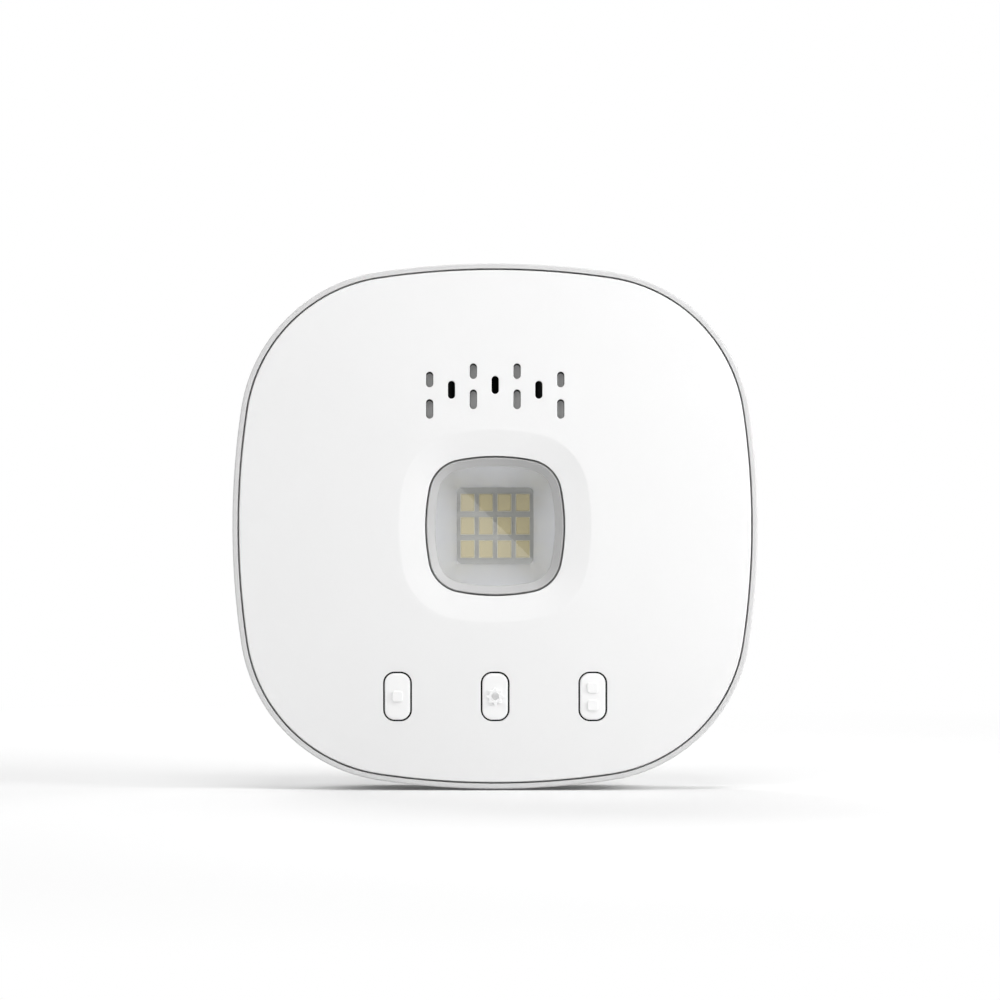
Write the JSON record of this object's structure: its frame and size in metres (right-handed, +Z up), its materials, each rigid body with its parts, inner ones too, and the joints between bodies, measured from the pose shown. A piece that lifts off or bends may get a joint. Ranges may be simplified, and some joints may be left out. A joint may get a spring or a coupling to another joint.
{
  "type": "garage door controller",
  "caption": "Square wall hub with a crowned panel, a light window, sounder slots, push buttons and a slide-on wall bracket.",
  "frame": {"origin": "the middle of the hub on the wall's face, which is the back of the wall bracket", "axes": "+Y points into the wall, +Z up the wall, +X to the right seen from the front; the panel faces -Y"},
  "size_m": [0.125, 0.0328, 0.125],
  "materials": {
    "cover_white": "fine satin, moulded",
    "housing_grey": "fine satin, moulded",
    "window_clear": "glossy clear plastic",
    "reflector_white": "satin, moulded",
    "board_grey": "solder resist on aluminium",
    "led_white": "moulded",
    "phosphor_yellow": "silicone with phosphor",
    "bare_aluminium": "sheared plate",
    "zinc_steel": "zinc plated",
    "speaker_black": "moulded",
    "speaker_cone": "pressed paper",
    "foam_black": "closed-cell foam",
    "wire_red": "vinyl sleeve",
    "wire_black": "vinyl sleeve",
    "connector_white": "moulded",
    "board_green": "solder resist on glass epoxy",
    "board_blue": "solder resist on glass epoxy",
    "tinned_steel": "tin plated",
    "copper_wire": "drawn wire",
    "chip_black": "moulded epoxy",
    "ferrite_grey": "pressed ferrite",
    "capacitor_can": "sleeved can",
    "small_ceramic": "fired ceramic",
    "plunger_ivory": "moulded",
    "button_white": "fine satin, moulded",
    "bracket_white": "moulded"
  },
  "bodies": {
    "hub": {"front_cover": "cover_white", "rear_housing": "housing_grey", "lens_bezel": "cover_white", "lens_window": "window_clear", "reflector": "reflector_white", "led_board": "board_grey", "led_packages": "led_white", "led_phosphors": "phosphor_yellow", "heat_spreader": "bare_aluminium", "led_board_screws": "zinc_steel", "sounder_frame": "speaker_black", "sounder_cone": "speaker_cone", "sounder_magnet": "zinc_steel", "sounder_gasket": "foam_black", "sounder_wire_red": "wire_red", "sounder_wire_black": "wire_black", "sounder_plug": "connector_white", "sounder_socket": "connector_white", "main_board": "board_green", "wifi_board": "board_blue", "wifi_shield": "tinned_steel", "antenna_coil": "copper_wire", "processor": "chip_black", "memory_chip": "chip_black", "driver_chips": "chip_black", "crystal": "tinned_steel", "inductor": "ferrite_grey", "capacitors": "capacitor_can", "small_parts": "small_ceramic", "power_inlet_shell": "tinned_steel", "power_inlet_tongue": "chip_black", "switch_bodies": "chip_black", "board_link": "chip_black", "case_screws": "zinc_steel", "board_screws": "zinc_steel"},
    "button_left": {"button_left": "button_white", "switch_plunger_left": "plunger_ivory"},
    "button_middle": {"button_middle": "button_white", "switch_plunger_middle": "plunger_ivory"},
    "button_right": {"button_right": "button_white", "switch_plunger_right": "plunger_ivory"},
    "wall_bracket": {"wall_bracket": "bracket_white"}
  },
  "joints": [
    {"name": "left_press", "type": "slide", "parent": "hub", "child": "button_left", "axis": [0, 1, 0], "range_m": [0, 0.0005], "stiffness_N_per_m": 3000},
    {"name": "middle_press", "type": "slide", "parent": "hub", "child": "button_middle", "axis": [0, 1, 0], "range_m": [0, 0.0005], "stiffness_N_per_m": 3000},
    {"name": "right_press", "type": "slide", "parent": "hub", "child": "button_right", "axis": [0, 1, 0], "range_m": [0, 0.0005], "stiffness_N_per_m": 3000},
    {"name": "bracket_slide", "type": "slide", "parent": "hub", "child": "wall_bracket", "axis": [0, 0, -1], "range_m": [0, 0.1]}
  ]
}
